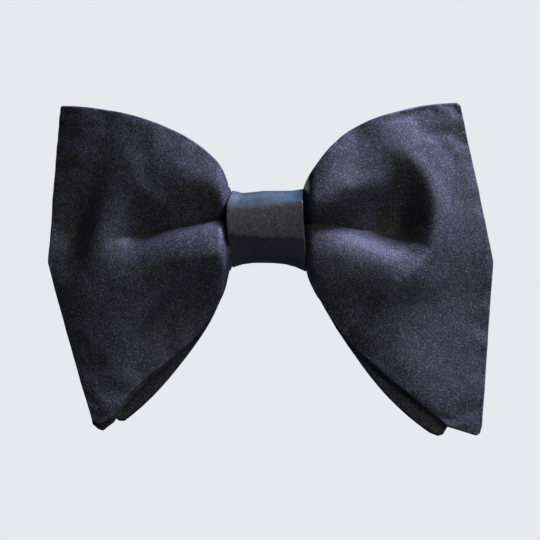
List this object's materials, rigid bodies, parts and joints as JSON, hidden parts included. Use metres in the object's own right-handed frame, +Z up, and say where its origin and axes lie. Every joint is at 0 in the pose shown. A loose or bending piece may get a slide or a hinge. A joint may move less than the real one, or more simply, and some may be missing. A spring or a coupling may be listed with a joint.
{
  "type": "bow tie",
  "caption": "Large ready-tied satin bow tie with drop-shaped wings, wrapped knot and adjustable neck band closed by a metal hook and eye.",
  "frame": {"origin": "centre of the neck loop, halfway up the neck band", "axes": "+Z up along the neck, -Y to the front where the bow faces, +X to the right of someone looking at the bow"},
  "size_m": [0.16, 0.1433, 0.1206],
  "materials": {
    "bow_satin": "midnight blue satin",
    "knot_satin": "midnight blue satin",
    "band_satin": "midnight blue satin",
    "interlining": "woven interlining",
    "wadding": "felt wadding",
    "thread": "polyester sewing thread",
    "nickel": "bright nickel plate"
  },
  "bodies": {
    "bow_and_band": {"front_bow_face": "bow_satin", "front_bow_interlining": "interlining", "front_bow_lining": "bow_satin", "rear_bow_face": "bow_satin", "rear_bow_interlining": "interlining", "rear_bow_lining": "bow_satin", "waist_binding": "thread", "knot_wrap": "knot_satin", "knot_padding": "wadding", "knot_closing_stitches": "thread", "band_tacking_stitches": "thread", "neck_band": "band_satin", "neck_band_stiffener": "interlining"},
    "slider": {"slide": "nickel", "adjuster_loop": "band_satin", "adjuster_stitches": "thread"},
    "hook_end": {"neck_band_hook_end": "band_satin", "hook_end_stitches": "thread"},
    "hook_body": {"hook": "nickel"},
    "eye_body": {"eye": "nickel"}
  },
  "joints": [
    {"name": "slide_travel", "type": "hinge", "parent": "bow_and_band", "child": "slider", "pos_m": [0, 0, 0], "axis": [0, 0, 1], "range_deg": [-15, 35], "deforming": ["adjuster_loop"]},
    {"name": "hook_end_flex", "type": "hinge", "parent": "bow_and_band", "child": "hook_end", "pos_m": [-0.04078, 0.04861, 0], "axis": [0, 0, 1], "range_deg": [0, 70]},
    {"name": "hook_pivot", "type": "hinge", "parent": "hook_end", "child": "hook_body", "pos_m": [-0.012, 0.06322, 0], "axis": [0, 0, 1], "range_deg": [0, 75]},
    {"name": "eye_pivot", "type": "hinge", "parent": "bow_and_band", "child": "eye_body", "pos_m": [0.012, 0.06322, 0], "axis": [0, 0, 1], "range_deg": [0, 60]}
  ]
}
